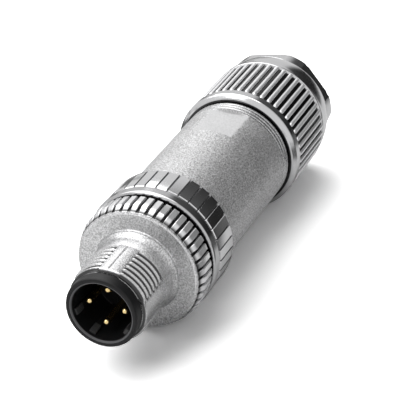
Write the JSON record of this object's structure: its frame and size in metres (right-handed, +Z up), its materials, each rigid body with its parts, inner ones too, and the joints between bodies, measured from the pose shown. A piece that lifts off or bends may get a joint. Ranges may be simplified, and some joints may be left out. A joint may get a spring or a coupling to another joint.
{
  "type": "m12 connector",
  "caption": "Straight shielded round plug with a free-turning knurled coupling nut, recessed pins, a cylindrical metal sleeve and a ribbed cable gland nut.",
  "frame": {"origin": "on the connector's axis, where the coupling thread meets the nut's neck", "axes": "-X towards the mating end, +X towards the cable end, +Z up as it lies"},
  "size_m": [0.0691, 0.0202, 0.0202],
  "materials": {
    "die_cast": "satin, fine-grained nickel-plated die casting",
    "nickel": "polished nickel plating",
    "black_plastic": "matte moulded",
    "grey_plastic": "matte moulded",
    "gold_plated": "gold plated",
    "brass": "turned",
    "steel": "satin",
    "rubber": "matte"
  },
  "bodies": {
    "insert": {"contact_carrier": "black_plastic", "pin_1": "gold_plated", "pin_2": "gold_plated", "pin_3": "gold_plated", "pin_4": "gold_plated", "terminal_block": "grey_plastic", "clamp_1": "brass", "clamp_2": "brass", "clamp_3": "brass", "clamp_4": "brass", "clamp_screw_1": "steel", "clamp_screw_2": "steel", "clamp_screw_3": "steel", "clamp_screw_4": "steel", "retaining_ring": "steel", "front_ring": "nickel"},
    "coupling": {"coupling_nut": "die_cast"},
    "seal": {"sleeve_seal": "rubber"},
    "sleeve": {"body_sleeve": "die_cast", "shield_ring": "steel", "clamping_cage": "grey_plastic", "cable_seal": "rubber"},
    "washer": {"thrust_washer": "grey_plastic"},
    "gland": {"gland_nut": "nickel"}
  },
  "joints": [
    {"name": "coupling_turn", "type": "hinge", "parent": "insert", "child": "coupling", "pos_m": [0, 0, 0], "axis": [1, 0, 0], "continuous": true},
    {"name": "sleeve_travel", "type": "slide", "parent": "insert", "child": "seal", "axis": [1, 0, 0], "range_m": [0, 0.003]},
    {"name": "sleeve_unscrew", "type": "hinge", "parent": "seal", "child": "sleeve", "pos_m": [0, 0, 0], "axis": [1, 0, 0], "range_deg": [0, 1100]},
    {"name": "gland_travel", "type": "slide", "parent": "sleeve", "child": "washer", "axis": [1, 0, 0], "range_m": [0, 0.006]},
    {"name": "gland_unscrew", "type": "hinge", "parent": "washer", "child": "gland", "pos_m": [0, 0, 0], "axis": [1, 0, 0], "range_deg": [0, 2180]}
  ],
  "couplings": [
    {"joint": "sleeve_unscrew", "follows": "sleeve_travel", "rad_per_m": 6283.2},
    {"joint": "gland_unscrew", "follows": "gland_travel", "rad_per_m": 6283.2}
  ]
}
